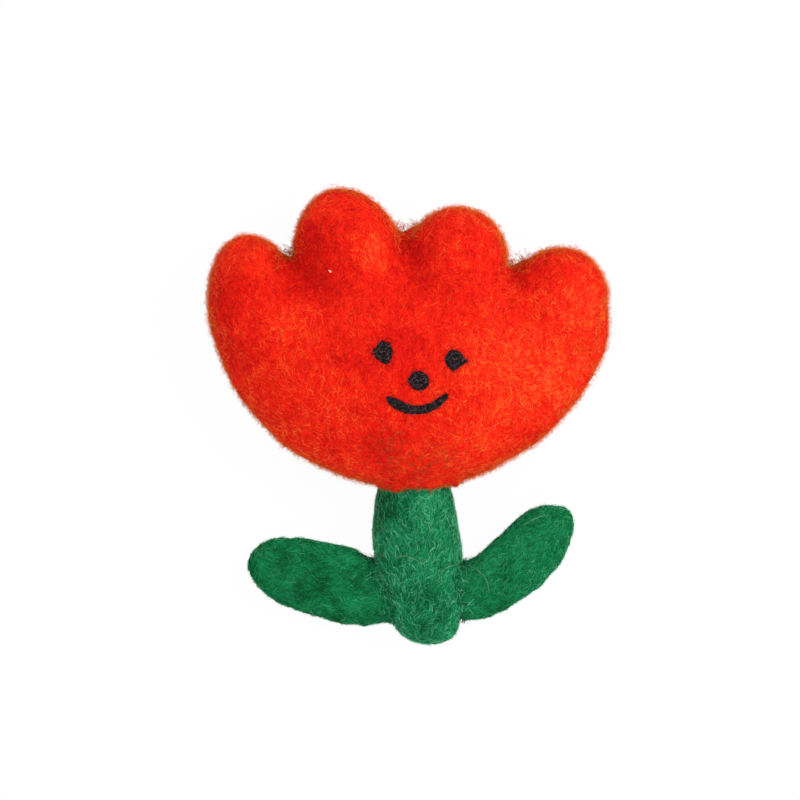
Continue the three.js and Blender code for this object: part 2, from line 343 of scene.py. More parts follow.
def blackLine(name, node, look):
    centre = middleOf(node)[:2]
    steps, fullRise = look["steps"], 0.5 * mm
    line = smoothed(evenLine(np.array(look["path"], float), steps) * mm, 3)
    verts, faces = [], []
    sides = look["sides"]
    for i, (x, y, half) in enumerate(line):
        across = acrossAt(line, i)
        for k in range(sides):
            angle = 2 * math.pi * k / sides
            px, py = centre + (x, y) + across * half * math.cos(angle)
            rise = look["rise"] * math.sin(angle) if angle < math.pi else look["sink"] * math.sin(angle)
            verts.append((px, py, bloomFront(px, py) + rise * min(1.0, half / fullRise)))
    for i in range(steps - 1):
        for k in range(sides):
            a, b = i * sides + k, i * sides + (k + 1) % sides
            faces.append((a, b, b + sides, a + sides))
    faces.append(tuple(range(sides))[::-1])
    faces.append(tuple((steps - 1) * sides + k for k in range(sides)))
    return closedObject(name, verts, faces)


def closedObject(name, verts, faces):
    mesh = bpy.data.meshes.new(name)
    mesh.from_pydata([tuple(v) for v in verts], [], faces)
    shaped = bmesh.new()
    shaped.from_mesh(mesh)
    bmesh.ops.remove_doubles(shaped, verts=shaped.verts, dist=0.001 * mm)
    bmesh.ops.recalc_face_normals(shaped, faces=shaped.faces)
    shaped.to_mesh(mesh)
    shaped.free()
    mesh.shade_smooth()
    return addObject(name, mesh)


dot = {"sides": 30, "rings": 7, "rise": 0.35 * mm, "sink": 0.5 * mm}
faceLooks = {
    "eye_left": {**dot, "rim": [
        (-1.8, -0.08), (-1.09, 0.97), (-0.1, 2.1), (1.1, 1.77), (1.76, 0.8), (1.78, -0.79), (1.46, -1.67),
        (0.67, -2.11), (-0.21, -1.67), (-0.92, -1.14)]},
    "eye_right": {**dot, "rim": [
        (-1.86, -0.12), (-1.58, 0.95), (-1.06, 1.6), (-0.26, 1.82), (0.62, 1.5), (1.3, 0.98), (1.74, 0.22),
        (2.2, 0.0), (1.85, -0.5), (0.79, -1.33), (-0.26, -1.95), (-1.14, -1.51)]},
    "nose": {**dot, "rise": 0.4 * mm, "rim": [
        (-1.91, -0.14), (-1.65, 0.75), (-1.03, 1.54), (-0.06, 1.75), (0.91, 1.54), (1.61, 0.92), (1.91, 0.04),
        (1.65, -0.84), (0.91, -1.51), (-0.06, -1.65), (-1.12, -1.19)]},
    "mouth": {"steps": 40, "sides": 14, "rise": 0.32 * mm, "sink": 0.4 * mm, "path": [
        (-5.42, 1.49, 0.15), (-5.1, 1.2, 0.5), (-4.68, 0.85, 0.72), (-3.48, -0.03, 0.95),
        (-1.79, -0.72, 0.86), (-0.1, -0.93, 0.78), (1.59, -0.72, 0.78), (3.24, 0.08, 0.74),
        (4.28, 0.9, 0.64), (4.92, 1.5, 0.52), (5.22, 1.82, 0.24)]},
}
tufts = {}
for name, look in faceLooks.items():
    make = blackLine if "path" in look else blackDot
    tufts[name] = make(name + "_felt", name, look)
print("face laid on the bloom")


# How thickly each spot of a skin is covered with fibres: nothing where it is hidden in its neighbour

def hiddenCover(skin, hiddenBy):
    trees = [(treeOf(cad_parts[node]), near) for node, near in hiddenBy.items()]
    cover = np.ones(len(skin.data.vertices))
    for i, point in enumerate(readPoints(skin.data)):
        if any(tree.find_nearest(Vector(point), near)[0] is not None for tree, near in trees):
            cover[i] = 0
    return cover


def awayFromFace(skin, cover):
    overlap, frontLevel = 0.1 * mm, 15 * mm
    points = readPoints(skin.data)
    for node, look in faceLooks.items():
        centre = middleOf(node)[:2]
        if "rim" in look:
            rim = closedCurve(look["rim"], 72) * mm
            angle = np.arctan2(rim[:, 1], rim[:, 0])
            order = np.argsort(angle)
            offset = points[:, :2] - centre
            reach = np.interp(np.arctan2(offset[:, 1], offset[:, 0]), angle[order],
                              np.hypot(rim[:, 0], rim[:, 1])[order], period=2 * math.pi)
            inside = np.hypot(offset[:, 0], offset[:, 1]) < reach - overlap
        else:
            inside = np.zeros(len(points), bool)
            for x, y, half in np.array(look["path"]) * mm:
                inside |= np.hypot(*(points[:, :2] - centre - (x, y)).T) < half
        cover[inside & (points[:, 2] > frontLevel)] = 0
    return cover


bloomCover = awayFromFace(bloom, hiddenCover(bloom, {"bloom_core": 0.9 * mm, "stem": 0.3 * mm}))
stemCover = hiddenCover(stem, {"bloom_cup": 0.25 * mm})


def nearSpots(skin, spots, size):
    points = readPoints(skin.data)[:, :2]
    weight = np.zeros(len(points))
    for x, y in spots:
        away = np.hypot(points[:, 0] - x * mm, points[:, 1] - y * mm)
        weight = np.maximum(weight, np.exp(-(away / size) ** 2))
    return weight


# A node with its settings, and what feeds its sockets: another node's socket, or a value

def socketOf(node, name):
    return next(s for s in node.inputs if s.name == name and s.enabled)


def nodeOf(tree, kind, sockets=(), **settings):
    made = tree.nodes.new(kind)
    for key, value in settings.items():
        setattr(made, key, value)
    for name, value in dict(sockets).items():
        socket = made.inputs[name] if isinstance(name, int) else socketOf(made, name)
        if isinstance(value, bpy.types.NodeSocket):
            tree.links.new(value, socket)
        else:
            socket.default_value = value
    return made


# Wool fibres, as one tree of geometry nodes: bent strands strewn over a skin

def fibreTree():
    tree = bpy.data.node_groups.new("woolFibres", "GeometryNodeTree")
    face = tree.interface
    face.new_socket("Geometry", in_out="INPUT", socket_type="NodeSocketGeometry")
    inputs = {
        "Density": 1e6, "Length": 2 * mm, "Thickness": 0.1 * mm, "Lift": 0.3 * mm, "Curl": 0.5 * mm,
        "Scatter": math.pi, "Sink": 0.05 * mm,
    }
    for name, value in inputs.items():
        face.new_socket(name, in_out="INPUT", socket_type="NodeSocketFloat").default_value = value
    face.new_socket("Segments", in_out="INPUT", socket_type="NodeSocketInt").default_value = 2
    face.new_socket("Seed", in_out="INPUT", socket_type="NodeSocketInt")
    face.new_socket("Wool", in_out="INPUT", socket_type="NodeSocketMaterial")
    face.new_socket("Geometry", in_out="OUTPUT", socket_type="NodeSocketGeometry")
    given = tree.nodes.new("NodeGroupInput").outputs
    seedSteps = iter(range(17, 200, 17))

    def node(kind, sockets=(), **settings):
        return nodeOf(tree, kind, sockets, **settings)

    def maths(operation, a, b):
        return node("ShaderNodeMath", {0: a, 1: b}, operation=operation).outputs[0]

    def vector(*parts):
        return node("ShaderNodeCombineXYZ", dict(enumerate(parts))).outputs[0]

    def randomValue(low, high, kind="FLOAT"):
        seed = maths("ADD", given["Seed"], next(seedSteps))
        made = node("FunctionNodeRandomValue", {"Min": low, "Max": high, "Seed": seed}, data_type=kind)
        return next(s for s in made.outputs if s.enabled)

    def stored(geometry, name, value, kind="FLOAT", domain="POINT"):
        sockets = {"Geometry": geometry, "Name": name, "Value": value}
        return node("GeometryNodeStoreNamedAttribute", sockets, data_type=kind, domain=domain).outputs[0]

    def attribute(name, kind):
        made = node("GeometryNodeInputNamedAttribute", {"Name": name}, data_type=kind)
        return made.outputs["Attribute"]

    half = maths("MULTIPLY", given["Length"], 0.5)

    def spot(x, y, z):
        height = maths("SUBTRACT", maths("MULTIPLY", given["Lift"], z), given["Sink"])
        return vector(maths("MULTIPLY", half, x), maths("MULTIPLY", given["Curl"], y), height)

    bends = [((-1, 0, 0.1), (0, 1, 1), (1, 0.2, 0.3)), ((-1, 0, 0), (0.1, -0.8, 1), (1, 0.6, 0.8)),
             ((-0.8, 0, 0), (0.3, 1, 0.3), (0.9, 1.4, 1))]
    shapes = [[spot(x, way * y, z) for x, y, z in bend] for bend in bends for way in (1, -1)]

    width = maths("MULTIPLY", given["Thickness"], 0.5)
    profile = node("GeometryNodeCurvePrimitiveCircle", {"Resolution": 3, "Radius": width}, mode="RADIUS")
    along = node("GeometryNodeSplineParameter").outputs["Factor"]
    fromMiddle = maths("ABSOLUTE", maths("SUBTRACT", along, 0.5), 0)
    taper = maths("SUBTRACT", 1.0, maths("MULTIPLY", fromMiddle, 1.3))
    count = maths("ADD", given["Segments"], 1)
    strands = node("GeometryNodeJoinGeometry")
    for start, bend, end in shapes:
        bow = {"Resolution": 8, "Start": start, "Middle": bend, "End": end}
        curve = node("GeometryNodeCurveQuadraticBezier", bow).outputs["Curve"]
        steps = node("GeometryNodeResampleCurve", {"Curve": curve, "Count": count}, mode="COUNT")
        radius = node("GeometryNodeSetCurveRadius", {"Curve": steps.outputs["Curve"], "Radius": taper})
        hold = node("GeometryNodeCaptureAttribute", {"Geometry": radius.outputs["Curve"]}, domain="POINT")
        hold.capture_items.new("FLOAT", "Along")
        tree.links.new(along, hold.inputs["Along"])
        tube = node("GeometryNodeCurveToMesh", {
            "Curve": hold.outputs["Geometry"], "Profile Curve": profile.outputs["Curve"], "Fill Caps": True,
        })
        marked = stored(tube.outputs["Mesh"], "along", hold.outputs["Along"])
        single = node("GeometryNodeGeometryToInstance", {"Geometry": marked})
        tree.links.new(single.outputs[0], strands.inputs[0])

    density = maths("MULTIPLY", given["Density"], attribute("fuzz", "FLOAT"))
    points = node("GeometryNodeDistributePointsOnFaces", {
        "Mesh": given["Geometry"], "Density": density, "Seed": given["Seed"],
    }, distribute_method="RANDOM")
    normal = points.outputs["Normal"]
    upright = node("FunctionNodeAlignRotationToVector", {"Vector": normal}, axis="Z").outputs["Rotation"]
    combed = node("FunctionNodeAlignRotationToVector", {
        "Rotation": upright, "Vector": attribute("grain", "FLOAT_VECTOR"),
    }, axis="X", pivot_axis="Z").outputs["Rotation"]
    angle = randomValue(maths("MULTIPLY", given["Scatter"], -1), given["Scatter"])
    turn = node("FunctionNodeAxisAngleToRotation", {"Axis": (0, 0, 1), "Angle": angle}).outputs["Rotation"]
    both = {"Rotation": combed, "Rotate By": turn}
    turned = node("FunctionNodeRotateRotation", both, rotation_space="LOCAL")
    strewn = node("GeometryNodeInstanceOnPoints", {
        "Points": stored(points.outputs["Points"], "facing", normal, "FLOAT_VECTOR"),
        "Instance": strands.outputs[0], "Pick Instance": True,
        "Instance Index": randomValue(0, len(shapes) - 1, "INT"), "Rotation": turned.outputs["Rotation"],
        "Scale": vector(randomValue(0.5, 1.3), randomValue(0.3, 1.2), randomValue(0.3, 1.5)),
    })
    toned = stored(strewn.outputs["Instances"], "tone", randomValue(0.0, 1.0), "FLOAT", "INSTANCE")
    real = node("GeometryNodeRealizeInstances", {"Geometry": toned}).outputs["Geometry"]
    wool = node("GeometryNodeSetMaterial", {"Geometry": real, "Material": given["Wool"]})
    node("NodeGroupOutput", {0: wool.outputs["Geometry"]})
    return tree


fibres = fibreTree()
fibreGap = 0.02 * mm


# Strews fibres over a skin and keeps them as a plain mesh. Its UV map holds each fibre's tone and the way
# along it, and its normals lean towards the skin's own, so that the mat of fibres is lit as soft as wool.
# The sizes in a lay are in mm.

def strewFibres(name, skin, material, lay, cover=None):
    thing = addObject(name, skin.data.copy())
    mesh = thing.data
    weight = np.ones(len(mesh.vertices)) if cover is None else cover
    mesh.attributes.new("fuzz", "FLOAT", "POINT").data.foreach_set("value", weight.astype(np.float32))
    modifier = thing.modifiers.new("fibres", "NODES")
    modifier.node_group = fibres
    values = {title: lay[title.lower()] * mm for title in ("Length", "Thickness", "Lift", "Curl", "Sink")}
    values.update({
        "Density": lay["perSquareMm"] / (mm * mm), "Scatter": lay.get("scatter", math.pi),
        "Segments": lay.get("segments", 2), "Seed": lay["seed"], "Wool": material,
    })
    for item in fibres.interface.items_tree:
        if item.in_out == "INPUT" and item.name in values:
            modifier[item.identifier] = values[item.name]
    mesh = applied(thing)
    points = readPoints(mesh)
    points[:, 2] = np.maximum(points[:, 2], fibreGap)
    writePoints(mesh, points)
    kept = {}
    fields = (("tone", "value", 1), ("along", "value", 1), ("warmthAndShade", "value", 1), ("facing", "vector", 3))
    for spare, field, width in fields:
        kept[spare] = np.full(len(points) * width, 0.5, np.float32)
        if spare in mesh.attributes:
            mesh.attributes[spare].data.foreach_get(field, kept[spare])
            if spare != "facing" or material is not rimWool:
                mesh.attributes.remove(mesh.attributes[spare])
    tone = 0.5 + lay.get("spread", 1.0) * (kept["tone"] - 0.5)
    # The fibres take the skin's tone clouds and its painted light and shade
    tone = tone + lay.get("cloud", 0.0) * (kept["warmthAndShade"] - 0.5)
    corner = np.empty(len(mesh.loops), np.int32)
    mesh.loops.foreach_get("vertex_index", corner)
    around = (corner % 3) / 400.0
    across = 0.005 + 0.98 * np.clip(tone, 0, 1)[corner] + around
    uv = np.stack([across, 0.01 + 0.98 * kept["along"][corner]], 1)
    layer = mesh.uv_layers.new(name="OFBake")
    layer.data.foreach_set("uv", uv.astype(np.float32).ravel())
    lean = lay.get("lean", 0.7)
    normals = lean * kept["facing"].reshape(-1, 3) + (1 - lean) * readNormals(mesh)
    normals[:, 2] += lay.get("upward", 0.0)
    mesh.normals_split_custom_set_from_vertices(normals / np.linalg.norm(normals, axis=1)[:, None])
    for spare in ("fuzz", "grain"):
        if spare in mesh.attributes:
            mesh.attributes.remove(mesh.attributes[spare])
    print("fibres", name, sum(len(p.vertices) - 2 for p in mesh.polygons), "triangles")
    return thing


# How the fibres of a skin lie: one main way that wanders, and along the edge where the skin turns down

def markGrain(skin, look):
    points, normals = readPoints(skin.data), readNormals(skin.data)
    angle = math.atan2(look["way"][1], look["way"][0]) + look["sway"] * lumps(points, look["size"], 11)
    flow = np.stack([np.cos(angle), np.sin(angle)], 1)
    steep = np.hypot(normals[:, 0], normals[:, 1])
    rim = np.stack([-normals[:, 1], normals[:, 0]], 1) / np.maximum(steep, 1e-6)[:, None]
    rim *= np.where((rim * flow).sum(1) < 0, -1, 1)[:, None]
    share = np.clip((steep - 0.5) / 0.4, 0, 1)[:, None]
    grain = np.zeros((len(points), 3), np.float32)
    grain[:, :2] = (1 - share) * flow + share * rim
    skin.data.attributes.new("grain", "FLOAT_VECTOR", "POINT").data.foreach_set("vector", grain.ravel())


# Clouds of warmer and deeper wool on a skin, the larger ones given one by one: x, y, size in mm, strength.
# Many of these spots are painted light and shade: warmer where the lamp falls, deeper in creases, in notches
# and on shaded sides

def markWarmthAndShade(skin, look):
    points = readPoints(skin.data)
    warmthAndShade = 0.5 + sum(part * lumps(points, size, seed) for part, size, seed in look["clouds"])
    if "streaks" in look:
        part, length, width, (wayX, wayY) = look["streaks"]
        along = (points[:, 0] * wayX + points[:, 1] * wayY) / length
        across = (points[:, 1] * wayX - points[:, 0] * wayY) / width + 0.9 * lumps(points, 4 * mm, 8)
        warmthAndShade += part * lumps(np.stack([along, across, points[:, 2] / length], 1), 1, 9)
    upward = readNormals(skin.data)[:, 2] > -0.2
    for x, y, size, part in look["spots"]:
        away = np.hypot(points[:, 0] - x * mm, points[:, 1] - y * mm) / (size * mm)
        warmthAndShade += part * np.exp(-away ** 2) * upward
    warmthAndShade = np.clip(warmthAndShade, 0, 1).astype(np.float32)
    skin.data.attributes.new("warmthAndShade", "FLOAT", "POINT").data.foreach_set("value", warmthAndShade)


# Materials

def rampOf(tree, source, stops):
    ramp = nodeOf(tree, "ShaderNodeValToRGB", {0: source})
    bar = ramp.color_ramp
    while len(bar.elements) > 1:
        bar.elements.remove(bar.elements[-1])
    bar.elements[0].position, bar.elements[0].color = stops[0][0], (*stops[0][1], 1)
    for place, colour in stops[1:]:
        bar.elements.new(place).color = (*colour, 1)
    return ramp.outputs[0]


def strokeGroup():
    tree = bpy.data.node_groups.new("feltStrokes", "ShaderNodeTree")
    face = tree.interface
    for name, value in (("Stroke Length", 1.6 * mm), ("Stroke Width", 0.22 * mm)):
        face.new_socket(name, in_out="INPUT", socket_type="NodeSocketFloat").default_value = value
    for name in ("Strokes", "Depth"):
        face.new_socket(name, in_out="OUTPUT", socket_type="NodeSocketFloat")
    given = tree.nodes.new("NodeGroupInput").outputs

    def node(kind, sockets=(), **settings):
        return nodeOf(tree, kind, sockets, **settings).outputs

    place = node("ShaderNodeTexCoord")["Object"]
    warp = node("ShaderNodeTexNoise", {"Scale": 260, "Vector": place})["Color"]
    centred = node("ShaderNodeVectorMath", {0: warp, 1: (0.5, 0.5, 0.5)}, operation="SUBTRACT")[0]
    bend = (1.4 * mm,) * 3
    bent = node("ShaderNodeVectorMath", {0: centred, 1: bend, 2: place}, operation="MULTIPLY_ADD")[0]
    stroke = [given[name] for name in ("Stroke Length", "Stroke Width", "Stroke Width")]
    best = None
    for turn in ((0, 0, 0.3), (0.5, 0, 1.35), (-0.4, 0.3, 2.35), (0.2, 1.2, 0.9)):
        lying = {"Rotation": turn, "Vector": bent}
        spin = node("ShaderNodeVectorRotate", lying, rotation_type="EULER_XYZ")[0]
        stretch = node("ShaderNodeCombineXYZ", dict(enumerate(stroke)))[0]
        size = node("ShaderNodeVectorMath", {0: spin, 1: stretch}, operation="DIVIDE")[0]
        streak = node("ShaderNodeTexNoise", {"Scale": 0.8, "Detail": 1.5, "Vector": size})[0]
        sharp = node("ShaderNodeMapRange", {"From Min": 0.5, "From Max": 0.78, "Value": streak})[0]
        if best is None:
            best = sharp
        else:
            best = node("ShaderNodeMath", {0: best, 1: sharp}, operation="MAXIMUM")[0]
    soft = node("ShaderNodeTexNoise", {"Scale": 1400, "Detail": 3, "Vector": place})[0]
    depth = node("ShaderNodeMath", {0: soft, 1: 0.6, 2: best}, operation="MULTIPLY_ADD")[0]
    node("NodeGroupOutput", {"Strokes": best, "Depth": depth})
    return tree


feltStrokes = strokeGroup()


def plainMaterial(name, roughness, gloss):
    material = bpy.data.materials.new(name)
    material.use_nodes = True
    shader = material.node_tree.nodes["Principled BSDF"]
    shader.inputs["Roughness"].default_value = roughness
    shader.inputs["Specular IOR Level"].default_value = gloss
    return material, material.node_tree, shader


def feltMaterial(name, look):
    look = {**feltLook, **look}
    material, tree, shader = plainMaterial(name, look["roughness"], 0.05)
    place = nodeOf(tree, "ShaderNodeTexCoord").outputs["Object"]
    cloud = nodeOf(tree, "ShaderNodeTexNoise", {
        "Scale": 1 / look["blotch"], "Detail": 5, "Roughness": 0.65, "Vector": place,
    })
    # Tone patches of the skin, with painted light and shade in them
    patchesAndShade = nodeOf(tree, "ShaderNodeAttribute", attribute_name="warmthAndShade").outputs["Fac"]
    share = {0: look["patchesAndShade"], 2: cloud.outputs[0], 3: patchesAndShade}
    blend = nodeOf(tree, "ShaderNodeMix", share, data_type="FLOAT")
    base = rampOf(tree, blend.outputs[0], [(0.3, look["dark"]), (0.5, look["middle"]), (0.7, look["warm"])])
    stroke = {"Stroke Length": look["strokeLength"], "Stroke Width": look["strokeWidth"]}
    strokes = nodeOf(tree, "ShaderNodeGroup", stroke, node_tree=feltStrokes).outputs
    part = {0: strokes["Strokes"], 1: look["strokeMix"]}
    amount = nodeOf(tree, "ShaderNodeMath", part, operation="MULTIPLY").outputs[0]
    mix = nodeOf(tree, "ShaderNodeMix", {0: amount, 6: base, 7: (*look["light"], 1)}, data_type="RGBA")
    tree.links.new(mix.outputs[2], shader.inputs["Base Color"])
    relief = {"Distance": look["relief"], "Strength": 0.8, "Height": strokes["Depth"]}
    tree.links.new(nodeOf(tree, "ShaderNodeBump", relief).outputs[0], shader.inputs["Normal"])
    return material


# Where fuzz is seen along the skin, the colours of the second ramp paint the light that comes through it

def fibreMaterial(name, stops, lightThrough=None):
    material, tree, shader = plainMaterial(name, 0.6, 0.06)
    place = nodeOf(tree, "ShaderNodeUVMap", uv_map="OFBake").outputs[0]
    split = nodeOf(tree, "ShaderNodeSeparateXYZ", {0: place}).outputs[0]
    tone = rampOf(tree, split, stops)
    if lightThrough:
        skinNormal = nodeOf(tree, "ShaderNodeAttribute", attribute_name="facing").outputs["Vector"]
        view = nodeOf(tree, "ShaderNodeNewGeometry").outputs["Incoming"]
        toward = nodeOf(tree, "ShaderNodeVectorMath", {0: skinNormal, 1: view}, operation="DOT_PRODUCT")
        along = nodeOf(tree, "ShaderNodeMapRange", {
            "From Min": 0.85, "From Max": 0.5, "Value": toward.outputs["Value"],
        }).outputs[0]
        through = rampOf(tree, split, lightThrough)
        tone = nodeOf(tree, "ShaderNodeMix", {0: along, 6: tone, 7: through}, data_type="RGBA").outputs[2]
    tree.links.new(tone, shader.inputs["Base Color"])
    return material


feltLook = {"strokeMix": 0.3, "relief": 0.1 * mm, "roughness": 1.0, "patchesAndShade": 0.6}
redFelt = feltMaterial("redFelt", {
    "dark": (0.72, 0.005, 0.003), "middle": (0.86, 0.01, 0.004), "warm": (0.9, 0.022, 0.005),
    "light": (1.0, 0.07, 0.015), "blotch": 5 * mm, "strokeLength": 1.7 * mm, "strokeWidth": 0.2 * mm,
})
stemFelt = feltMaterial("stemFelt", {
    "dark": (0.004, 0.1, 0.03), "middle": (0.008, 0.17, 0.058), "warm": (0.012, 0.22, 0.08),
    "light": (0.04, 0.36, 0.17), "blotch": 3 * mm, "strokeLength": 2.0 * mm, "strokeWidth": 0.18 * mm,
})
leafFelt = feltMaterial("leafFelt", {
    "dark": (0.003, 0.09, 0.027), "middle": (0.005, 0.16, 0.05), "warm": (0.009, 0.21, 0.07),
    "light": (0.03, 0.28, 0.12), "blotch": 2.4 * mm, "strokeLength": 1.6 * mm, "strokeWidth": 0.18 * mm,
    "strokeMix": 0.25,
})
blackFelt = feltMaterial("blackFelt", {
    "dark": (0.004, 0.003, 0.004), "middle": (0.008, 0.007, 0.008), "warm": (0.014, 0.011, 0.012),
    "light": (0.06, 0.05, 0.05), "blotch": 1.5 * mm, "strokeLength": 0.9 * mm, "strokeWidth": 0.12 * mm,
    "strokeMix": 0.2, "roughness": 0.9, "patchesAndShade": 0.0,
})
undyedFelt = feltMaterial("undyedFelt", {
    "dark": (0.62, 0.55, 0.44), "middle": (0.75, 0.69, 0.57), "warm": (0.82, 0.77, 0.66),
    "light": (0.9, 0.87, 0.8), "blotch": 4 * mm, "strokeLength": 2.6 * mm, "strokeWidth": 0.3 * mm,
    "strokeMix": 0.5, "relief": 0.3 * mm, "patchesAndShade": 0.0,
})
redTones = [
    (0.0, (0.54, 0.004, 0.004)), (0.25, (0.77, 0.007, 0.004)), (0.5, (0.88, 0.012, 0.005)),
    (0.72, (0.91, 0.031, 0.007)), (0.9, (0.94, 0.072, 0.01)), (1.0, (0.96, 0.145, 0.018)),
]
redWool = fibreMaterial("redWool", redTones)
orangeWool = fibreMaterial("orangeWool", [
    (0.0, (0.6, 0.005, 0.003)), (0.4, (0.9, 0.018, 0.006)), (0.75, (0.95, 0.055, 0.014)),
    (1.0, (1.0, 0.18, 0.07)),
])
rimWool = fibreMaterial("rimWool", redTones, lightThrough=[
    (0.0, (0.5, 0.045, 0.004)), (0.5, (0.76, 0.115, 0.008)), (1.0, (0.95, 0.26, 0.035)),
])
notchWool = fibreMaterial("notchWool", [
    (0.0, (0.28, 0.03, 0.008)), (0.5, (0.58, 0.085, 0.012)), (1.0, (0.85, 0.27, 0.05)),
])
stemWool = fibreMaterial("stemWool", [
    (0.0, (0.001, 0.035, 0.009)), (0.35, (0.003, 0.12, 0.034)), (0.7, (0.007, 0.26, 0.08)),
    (1.0, (0.02, 0.44, 0.17)),
])
# The palest tones are pale mint fibres and also painted glints
mintWool = fibreMaterial("mintWool", [
    (0.0, (0.003, 0.12, 0.04)), (0.4, (0.008, 0.25, 0.095)), (0.8, (0.06, 0.54, 0.27)),
    (1.0, (0.34, 0.8, 0.56)),
])
leafWool = fibreMaterial("leafWool", [
    (0.0, (0.002, 0.055, 0.013)), (0.4, (0.003, 0.15, 0.042)), (0.8, (0.006, 0.24, 0.075)),
    (1.0, (0.015, 0.34, 0.13)),
])
# Paler than the coat: painted light that comes through the fuzz at the edges of stem and leaves
greenRim = fibreMaterial("greenRim", [
    (0.0, (0.06, 0.36, 0.15)), (0.5, (0.12, 0.46, 0.23)), (1.0, (0.22, 0.6, 0.35)),
])
leafStrand = fibreMaterial("leafStrand", [
    (0.0, (0.002, 0.07, 0.02)), (0.5, (0.008, 0.25, 0.09)), (0.85, (0.035, 0.36, 0.17)),
    (1.0, (0.16, 0.5, 0.33)),
])
# The palest tone is a few paler fibres and also painted glints on the black wool
blackWool = fibreMaterial("blackWool", [
    (0.0, (0.005, 0.003, 0.004)), (0.5, (0.014, 0.01, 0.011)), (0.78, (0.05, 0.035, 0.04)),
    (1.0, (0.25, 0.15, 0.17)),
])
paleWool = fibreMaterial("paleWool", [(0.0, (0.08, 0.38, 0.2)), (1.0, (0.4, 0.62, 0.42))])
undyedWool = fibreMaterial("undyedWool", [(0.0, (0.8, 0.42, 0.3)), (1.0, (0.92, 0.6, 0.45))])
# Dark red to black: strands caught by the needle, and painted shade around the face patches
strayBlackAndShadeWool = fibreMaterial("strayBlackAndShadeWool", [
    (0.0, (0.02, 0.004, 0.004)), (0.5, (0.16, 0.005, 0.004)), (1.0, (0.5, 0.01, 0.006)),
])
darkWool = fibreMaterial("darkWool", [(0.0, (0.012, 0.035, 0.01)), (1.0, (0.08, 0.075, 0.022))])
oliveWool = fibreMaterial("oliveWool", [(0.0, (0.12, 0.06, 0.012)), (1.0, (0.35, 0.13, 0.025))])

for piece, felt in ((bloom, redFelt), (stem, stemFelt), (leafLeft, leafFelt), (leafRight, leafFelt),
                    (core, undyedFelt)):
    piece.data.materials.append(felt)
for tuft in tufts.values():
    tuft.data.materials.append(blackFelt)

pieces = {"red_wool": [bloom], "green_wool": [stem, leafLeft, leafRight], "black_wool": list(tufts.values()),
          "undyed_wool": [core]}


def strew(slot, name, skin, material, lay, cover=None):
    pieces[slot].append(strewFibres(name, skin, material, lay, cover))


# Painted shade and light in the spots: deeper in the notches, along the creases, on the left side and low
# above the stem; warmer on the right side and on lit petals
markWarmthAndShade(bloom, {
    "clouds": [(0.18, 7 * mm, 3), (0.1, 2.6 * mm, 5), (0.1, 1.2 * mm, 7)],
    "streaks": (0.3, 2.4 * mm, 0.9 * mm, (-0.3, 0.95)),
    "spots": [(29.4, 19.5, 4.5, 0.2), (-6.6, 29.6, 4, 0.3), (22, 8, 9, 0.4), (14, -5, 9, 0.13),
              (4, -8, 9, 0.12), (-19.3, 23.5, 3.6, -0.45), (-32.5, 21, 5, -0.3), (-20.8, 14.2, 4, 0.1),
              (-14.5, 26.5, 5, -0.4), (-0.3, 29.5, 3.5, -0.45), (19.8, 26.6, 3.5, -0.35), (-5, -5, 3, -0.4),
              (0, -8, 5, -0.15), (-22, -1, 8, 0.12), (-31.4, 11.9, 6, -0.12), (-1, 14, 9, -0.25),
              (8.7, 32, 5, -0.1), (-10, 36, 4, -0.1), (-21.6, 27.2, 2.4, -0.5), (-23.6, 28.6, 2, -0.3),
              (-17.6, 32.4, 3, -0.3), (-1, 30, 1.8, -0.3)],
})
# Painted light and shade in the spots: warmer on the right of the stem, deeper on its left
markWarmthAndShade(stem, {
    "clouds": [(0.25, 5 * mm, 3), (0.25, 1.8 * mm, 5)],
    "spots": [(3.4, -15.8, 3, 0.3), (6.5, -23.5, 3, 0.15), (-4.5, -18.5, 2.4, -0.4), (2.9, -35, 3, -0.2),
              (-3.6, -15.8, 3.4, -0.35)],
})
markWarmthAndShade(leafLeft, {
    "clouds": [(0.3, 3.4 * mm, 3), (0.25, 1.5 * mm, 5)], "spots": [(-17.9, -29.6, 4, -0.25)],
})
markWarmthAndShade(leafRight, {
    "clouds": [(0.25, 3.4 * mm, 3), (0.25, 1.5 * mm, 5)], "spots": [(22, -22, 10, 0.1)],
})
markGrain(bloom, {"way": (-0.25, 1), "sway": 1.8, "size": 9 * mm})
markGrain(stem, {"way": (0.1, 1), "sway": 1.8, "size": 5 * mm})
markGrain(leafLeft, {"way": (1, -0.23), "sway": 1.6, "size": 5 * mm})
markGrain(leafRight, {"way": (1, 0.8), "sway": 1.6, "size": 5 * mm})

# Bloom: a coat of short matted strands in three sheets, finer orange strands on it, and fluff at the edges

slope = readNormals(bloom.data)[:, 2]
upperCover = bloomCover * np.where(slope < -0.45, 0.45, 1.0)
bloomCoat = {"perSquareMm": 2.5, "length": 1.2, "thickness": 0.17, "lift": 0.16, "curl": 0.3, "sink": 0.03,
             "segments": 1, "scatter": 1.3, "spread": 0.77, "cloud": 0.85, "lean": 0.55}
for i in range(3):
    strew("red_wool", f"bloom_coat_{i + 1}", bloom, redWool, {**bloomCoat, "seed": 3 + i}, upperCover)
bloomStrands = {"perSquareMm": 1.8, "length": 1.05, "thickness": 0.075, "lift": 0.2, "curl": 0.4,
                "sink": 0.02, "scatter": 1.3, "spread": 0.8, "cloud": 0.7, "lean": 0.65}
for i in range(2):
    lay = {**bloomStrands, "seed": 21 + i}
    strew("red_wool", f"bloom_strands_{i + 1}", bloom, orangeWool, lay, upperCover)
notches = [(-21.3, 29.3), (-1.2, 33.3), (0.6, 33.8), (18.7, 27.4), (20.2, 28)]
valleys = nearSpots(bloom, [(-20.6, 27.4), (-0.3, 31), (19.2, 26.2)], 3 * mm)
